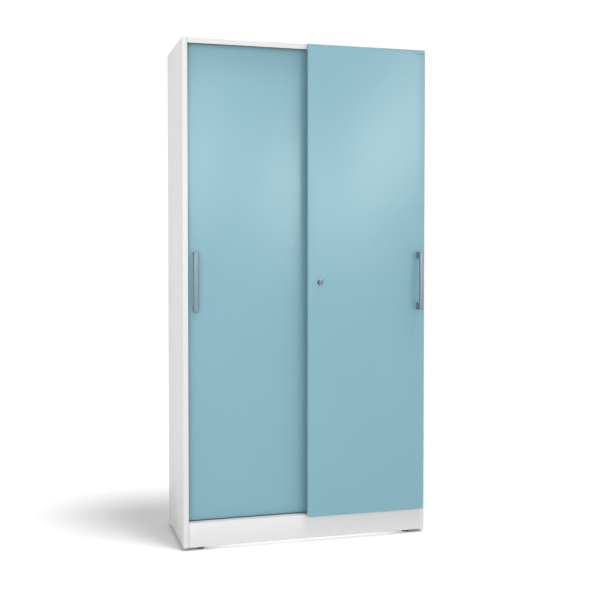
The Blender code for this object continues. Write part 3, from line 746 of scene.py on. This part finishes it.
def build_handle(prefix, thick, leg):
    """A stirrup handle milled from flat bar, with every edge broken."""
    node = f"{prefix}_handle"
    low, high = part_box(node)
    inner = min(0.004, (high.y - low.y - thick) / 3)
    outer = thick * 0.6
    grip = low.y + thick
    corners = [
        (high.y, low.z), (high.y, low.z + leg), (grip, low.z + leg), (grip, high.z - leg),
        (high.y, high.z - leg), (high.y, high.z), (low.y, high.z), (low.y, low.z),
    ]
    outline = rounded_outline(corners, [0, 0, inner, inner, 0, 0, outer, outer])
    made = prism(f"{prefix}_bar_handle", outline, "x", low.x, high.x, SATIN, edge=0.0011)
    finish_piece(made, f"{prefix}_door", "handle_metal", node)


# ---------------------------------------------------------------- lock

def build_lock():
    """A trim ring, a push barrel that ends in the bolt, and a key plug in the barrel's recess."""
    low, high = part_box("lock_barrel")
    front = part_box("front_door_skin")[0].y
    place = Vector(((low.x + high.x) / 2, front, (low.z + high.z) / 2))

    behind = -0.0003
    ring = [
        (LOCK_HOLE, -0.0020), (0.0100, -0.00205), (0.0108, -0.0019), (0.0117, -0.0014), (0.0121, -0.0009),
        (0.0122, behind), (LOCK_HOLE, behind),
    ]
    made = turned("lock_trim_ring", ring, place, BACK, CHROME, sides=64, closed=True)
    finish_piece(made, "front_door", "lock_chrome", "lock_rosette")

    face, tip, shoulder = low.y - front, high.y - front, 0.0022
    bolt, wall, recess, recess_end = 0.0045, 0.0086, 0.0058, face + 0.0065
    barrel = [
        (0.0, tip), (0.0037, tip), (0.0043, tip - 0.0003), (bolt, tip - 0.0008), (bolt, shoulder),
        (0.0083, shoulder), (wall, 0.0019), (wall, face + 0.0009), (0.0084, face + 0.0004),
        (0.0080, face + 0.0001), (0.0076, face), (0.0064, face), (0.0061, face + 0.0002),
        (recess, face + 0.0006), (recess, recess_end), (0.0, recess_end),
    ]
    made = turned("lock_push_barrel", barrel, place, BACK, CHROME, sides=64)
    finish_piece(made, "lock_barrel", "lock_chrome", "lock_barrel")

    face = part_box("lock_plug")[0].y - front
    end = face + 0.0060
    plug = [(0.0, end), (0.0055, end), (0.0055, face + 0.0004), (0.0052, face), (0.0, face)]
    made = turned("lock_key_plug", plug, place, BACK, CHROME)
    keyway_start = place + Vector((-0.0008, face - 0.002, -0.0038))
    keyway_end = place + Vector((0.0008, face + 0.0026, 0.0038))
    cut(made, block(keyway_start, keyway_end, CHROME))
    smooth(made)
    finish_piece(made, "lock_plug", "lock_chrome", "lock_plug")


# ---------------------------------------------------------------- running gear

def build_rollers():
    """Nylon tyres on small ball bearings."""
    hub = 0.0074
    for prefix in DOORS:
        for side, _ in SIDES:
            node = f"{prefix}_{side}_roller"
            low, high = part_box(node)
            centre = (low + high) / 2
            half = (high.y - low.y) / 2
            radius = (high.z - low.z) / 2
            rim = [
                (hub, half - 0.0008), (0.0092, half - 0.0008), (0.0096, half), (radius - 0.0012, half),
                (radius - 0.0004, half - 0.0004), (radius, half - 0.0012),
            ]
            tyre = turned(f"{node}_tyre", mirrored(rim), centre, BACK, NYLON, closed=True)
            finish_piece(tyre, node, "nylon", node)
            race, shield = half - 0.0004, half - 0.0009
            rings = [
                (0.0030, race), (0.0043, race), (0.0045, shield), (0.0060, shield), (0.0062, race),
                (0.0072, race),
            ]
            bearing = turned(f"{node}_bearing", mirrored(rings), centre, BACK, ZINC, sides=40, closed=True)
            finish_piece(bearing, node, "zinc_steel")


def build_carriages():
    """Jogged brackets on the doors' inner sides, each with a riveted axle pin and two screws."""
    thick, jog, jog_depth, screw_height = 0.002, 0.148, 0.0067, 0.173
    guide_wall, guide_screw_height = 0.003, 1.933
    pin_radius, head_radius, washer_radius = 0.0026, 0.0042, 0.0046
    for prefix in DOORS:
        for side, _ in SIDES:
            node = f"{prefix}_{side}_carriage"
            low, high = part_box(node)
            roller_low, roller_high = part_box(f"{prefix}_{side}_roller")
            axle = (roller_low + roller_high) / 2
            cheek = low.y + jog_depth
            path = [(low.y, high.z), (low.y, jog), (cheek, jog), (cheek, low.z)]
            made = sheet(f"{node}_bracket", path, "x", low.x, high.x, ZINC, radius=0.0026, thickness=thick)
            finish_piece(made, prefix, "zinc_steel", node)

            head, inner, outer = high.y - 0.0017, cheek + thick, cheek - 0.0001
            pin = [
                (0.0, high.y), (0.0034, high.y), (head_radius, high.y - 0.0006), (head_radius, head),
                (pin_radius, head), (pin_radius, inner), (washer_radius, inner),
                (washer_radius, inner - 0.0001), (pin_radius, inner - 0.0001), (pin_radius, outer),
                (0.0044, outer), (0.0038, cheek - 0.0009), (0.0, cheek - 0.0011),
            ]
            profile = [(radius, y - axle.y) for radius, y in pin]
            made = turned(f"{node}_axle_pin", profile, axle, BACK, ZINC, sides=32)
            finish_piece(made, prefix, "zinc_steel")
            spot = (axle.x, low.y + thick, screw_height)
            screw_pair(f"{node}_screws", prefix, spot, spread=0.010, radius=0.0036)

            low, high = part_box(f"{prefix}_{side}_guide")
            spot = ((low.x + high.x) / 2, low.y + guide_wall, guide_screw_height)
            screw_pair(f"{prefix}_{side}_guide_screws", prefix, spot, spread=0.008, radius=0.0032)


def build_keeper():
    """The strike block on the rear door, with two countersunk screws."""
    low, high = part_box("lock_keeper")
    outline = rounded_outline(rectangle(low.xz, high.xz), [0.002] * 4)
    made = prism("lock_strike", outline, "y", low.y, high.y, ZINC, edge=0.0008)
    apply(made)
    middle = (low + high) / 2
    depth, from_middle = 0.0022, 0.0125
    sink = [(0.0, depth), (0.0016, depth), (0.0040, -0.0002), (0.0, -0.0002)]
    heads = []
    for drop in (-from_middle, from_middle):
        spot = (middle.x, low.y, middle.z + drop)
        cut(made, turned("tool", sink, spot, BACK, ZINC, sides=24))
        heads.append(flat_screw(spot, depth))
    smooth(made)
    finish_piece(made, "rear_door", "zinc_steel", "lock_keeper")
    finish_piece(joined("lock_strike_screws", heads), "rear_door", "zinc_steel")


def build_stops():
    """Rubber bumpers on the stiles for the rear door, and blocks in the top track for the front one."""
    for side, mirror in SIDES:
        node = f"{side}_buffer"
        low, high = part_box(node)
        base = (low + high) / 2
        base.x = low.x if mirror > 0 else high.x
        length = high.x - low.x
        profile = [
            (0.0, length), (0.0022, length - 0.0001), (0.0040, length - 0.0008), (0.0050, length - 0.0022),
            (0.0053, 0.0028), (0.0058, 0.0022), (0.0060, 0.0016), (0.0060, 0.0), (0.0, 0.0),
        ]
        made = turned(f"{node}_bumper", profile, base, (mirror, 0, 0), RUBBER, sides=36)
        finish_piece(made, "carcass", "rubber", node)

        node = f"{side}_end_stop"
        low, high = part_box(node)
        corner = 0.003
        outline = rounded_outline(rectangle(low.yz, high.yz), [corner, corner, 0, 0])
        made = prism(f"{node}_block", outline, "x", low.x, high.x, RUBBER, edge=0.0012)
        finish_piece(made, "carcass", "rubber", node)


def build_feet():
    """Levelling feet: a threaded stem, a collar and a round pad."""
    crest, root, half_pitch, thread_end = 0.0050, 0.0045, 0.0006, 0.0125
    for end in ("front", "rear"):
        for side, _ in SIDES:
            node = f"{end}_{side}_foot"
            low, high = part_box(node)
            place = ((low.x + high.x) / 2, (low.y + high.y) / 2, 0.0)
            profile = [(0.0, high.z), (0.0040, high.z)]
            thread = high.z - 0.001
            while thread > thread_end:
                profile += [(crest, thread), (root, thread - half_pitch)]
                thread -= 2 * half_pitch
            profile += [
                (crest, 0.0112), (0.0082, 0.0110), (0.0085, 0.0106), (0.0085, 0.0078), (0.0095, 0.0072),
                (0.0130, 0.0066), (0.0145, 0.0056), (0.0150, 0.0045), (0.0150, 0.0006), (0.0146, 0.0),
                (0.0, 0.0),
            ]
            made = turned(f"{node}_leveller", profile, place, UP, BLACK, sides=40)
            finish_piece(made, node, "dark_nylon", node)


# ---------------------------------------------------------------- carried-over CAD nodes

def dress_nodes():
    """Plain CAD pieces that stay: each gets its material, welded corners and broken edges."""
    dressed = {
        "top_track": (ZINC, 0.0002), "lock_housing": (ZINC, 0.0003), "lock_spring": (ZINC, 0.0),
        "left_base_rail": (PAINT_LIGHT, 0.0003), "right_base_rail": (PAINT_LIGHT, 0.0003),
    }
    for prefix in DOORS:
        dressed[f"{prefix}_stiffener"] = (ZINC, 0.0002)
        for side, _ in SIDES:
            dressed[f"{prefix}_{side}_guide"] = (BLACK, 0.0006)
    for name, (paint, edge) in dressed.items():
        node = NODES[name]
        for slot in node.material_slots:
            slot.material = paint
        weld = node.modifiers.new("weld", "WELD")
        weld.merge_threshold = 0.00001
        if edge:
            bevel(node, edge, segments=2, angle=35.0)


# ---------------------------------------------------------------- stage and light

def make_floor():
    bm = bmesh.new()
    bmesh.ops.create_grid(bm, x_segments=2, y_segments=2, size=30.0)
    made = Shader("floor_paper")
    clouds = made.remap(made.noise(scale=0.8, detail=2.0), 0.0, 1.0)
    made.drive("Base Color", made.mix(clouds, (0.90, 0.90, 0.90), (0.89, 0.89, 0.89)))
    made.set("Roughness", 0.9)
    made.set("Specular IOR Level", 0.0)
    from_bm(bm, "floor", made.material)


def aim(made, target):
    made.rotation_euler = (Vector(target) - made.location).to_track_quat("-Z", "Y").to_euler()


def softbox(name, place, target, size, power, diffuse=True, glossy=True):
    """A rectangular light that the camera doesn't see."""
    data = bpy.data.lights.new(name, "AREA")
    data.shape = "RECTANGLE"
    data.size, data.size_y = size
    data.energy = power
    made = bpy.data.objects.new(name, data)
    SCENE.collection.objects.link(made)
    made.location = place
    aim(made, target)
    made.visible_camera = False
    made.visible_diffuse = diffuse
    made.visible_glossy = glossy


def make_world(seen_strength, horizon, zenith):
    """A white backdrop; its light comes evenly from all round and fades towards the zenith."""
    fade_start, fade_end = 0.45, 0.95
    world = bpy.data.worlds.new("studio")
    world.use_nodes = True
    tree = world.node_tree
    seen = tree.nodes["Background"]
    felt = tree.nodes.new("ShaderNodeBackground")
    for background in (seen, felt):
        background.inputs["Color"].default_value = (1.0, 1.0, 1.0, 1.0)
    seen.inputs["Strength"].default_value = seen_strength
    direction = tree.nodes.new("ShaderNodeTexCoord")
    split = tree.nodes.new("ShaderNodeSeparateXYZ")
    tree.links.new(direction.outputs["Generated"], split.inputs["Vector"])
    fade = tree.nodes.new("ShaderNodeMapRange")
    fade.interpolation_type = "SMOOTHSTEP"
    fade.inputs["From Min"].default_value = fade_start
    fade.inputs["From Max"].default_value = fade_end
    fade.inputs["To Min"].default_value = horizon
    fade.inputs["To Max"].default_value = zenith
    tree.links.new(split.outputs["Z"], fade.inputs["Value"])
    tree.links.new(fade.outputs["Result"], felt.inputs["Strength"])
    ray = tree.nodes.new("ShaderNodeLightPath")
    mix = tree.nodes.new("ShaderNodeMixShader")
    tree.links.new(ray.outputs["Is Camera Ray"], mix.inputs["Fac"])
    tree.links.new(felt.outputs["Background"], mix.inputs[1])
    tree.links.new(seen.outputs["Background"], mix.inputs[2])
    tree.links.new(mix.outputs["Shader"], tree.nodes["World Output"].inputs["Surface"])
    SCENE.world = world


def make_key(strength, azimuth, elevation, spread):
    """A soft sun; its azimuth goes from straight in front of the doors towards the right."""
    data = bpy.data.lights.new("key", "SUN")
    data.energy = strength
    data.angle = math.radians(spread)
    made = bpy.data.objects.new("key", data)
    SCENE.collection.objects.link(made)
    distance = 6.0
    azimuth, elevation = math.radians(azimuth), math.radians(elevation)
    x = math.sin(azimuth) * math.cos(elevation)
    y = -math.cos(azimuth) * math.cos(elevation)
    made.location = distance * Vector((x, y, math.sin(elevation)))
    aim(made, (0.0, 0.0, 0.0))


def make_light():
    """The backdrop, a sun, two lights without highlights, and two cards that only show as sheens."""
    SCENE.view_settings.view_transform = "Standard"
    make_world(seen_strength=1.1, horizon=1.14, zenith=0.04)
    make_key(strength=1.86, azimuth=39.0, elevation=73.0, spread=15.0)
    softbox("front_left_box", (-2.6, -4.8, 1.2), (0.0, 0.0, 0.8), (2.5, 2.0), 78.0, glossy=False)
    softbox("under_card", (0.0, -0.075, 0.075), (0.0, -0.075, 0.0), (0.84, 0.13), 0.55, glossy=False)
    softbox("right_card", (2.2, -5.0, 2.17), (0.35, 0.0, 1.6), (2.2, 1.0), 60.0, diffuse=False)
    softbox("left_card", (-0.65, -5.0, 2.5), (-0.6, 0.0, 1.7), (1.5, 1.3), 46.0, diffuse=False)


make_camera()
build_side_panels()
build_top()
build_plinth()
build_ledge()
build_deck()
build_back()
build_uprights()
build_shelves()
build_supports()
for door in DOORS:
    build_door(door)
build_handle("front", thick=0.010, leg=0.026)
build_handle("rear", thick=0.007, leg=0.022)
build_lock()
build_keeper()
build_rollers()
build_carriages()
build_stops()
build_feet()
dress_nodes()
make_floor()
make_light()
